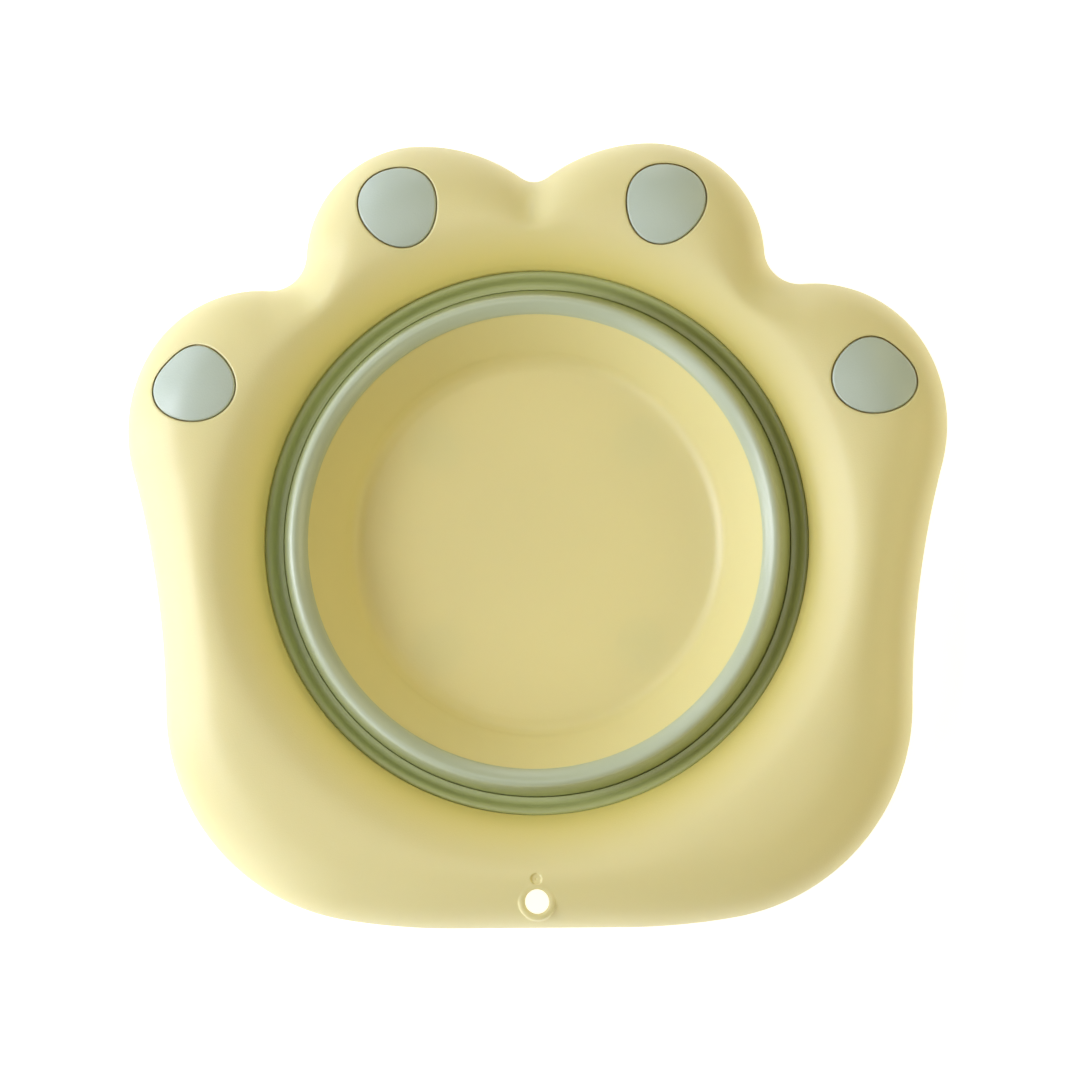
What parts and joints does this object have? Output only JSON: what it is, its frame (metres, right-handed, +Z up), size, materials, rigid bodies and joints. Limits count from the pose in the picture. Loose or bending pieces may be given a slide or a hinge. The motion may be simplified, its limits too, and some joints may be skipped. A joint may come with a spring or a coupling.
{
  "type": "folding pet bathtub",
  "caption": "Folding pet bathtub with a puffy paw-shaped rim, soft toe pads, a hanging hole and a round pan on a soft wall that rolls over to fold flat.",
  "frame": {"origin": "on the floor, under the middle of the rim's outline", "axes": "+Z up; +Y towards the toes; +X to the right seen from above with the toes up"},
  "size_m": [0.399, 0.381, 0.0505],
  "materials": {
    "rim_plastic": "satin pastel yellow moulded plastic",
    "pan_plastic": "satin pastel yellow moulded plastic",
    "wall_soft": "satin sage green soft plastic",
    "pad_soft": "satin grey-green soft plastic",
    "foot_soft": "matt sage green soft plastic"
  },
  "bodies": {
    "pan": {"basin_pan": "pan_plastic", "pan_rim_bead": "wall_soft", "foot_rear_right": "foot_soft", "foot_rear_left": "foot_soft", "foot_front_left": "foot_soft", "foot_front_right": "foot_soft"},
    "rim": {"rim_shell": "rim_plastic", "toe_pad_outer_left": "pad_soft", "toe_pad_inner_left": "pad_soft", "toe_pad_inner_right": "pad_soft", "toe_pad_outer_right": "pad_soft", "wall_upper_band": "wall_soft"},
    "fold": {"wall_fold_band": "wall_soft"}
  },
  "joints": [
    {"name": "rim_lift", "type": "slide", "parent": "pan", "child": "rim", "axis": [0, 0, 1], "range_m": [0, 0.078], "deforming": ["wall_fold_band"]},
    {"name": "fold_rise", "type": "slide", "parent": "pan", "child": "fold", "axis": [0, 0, 1], "range_m": [0, 0.039]}
  ],
  "couplings": [
    {"joint": "fold_rise", "follows": "rim_lift", "ratio": 0.5}
  ]
}
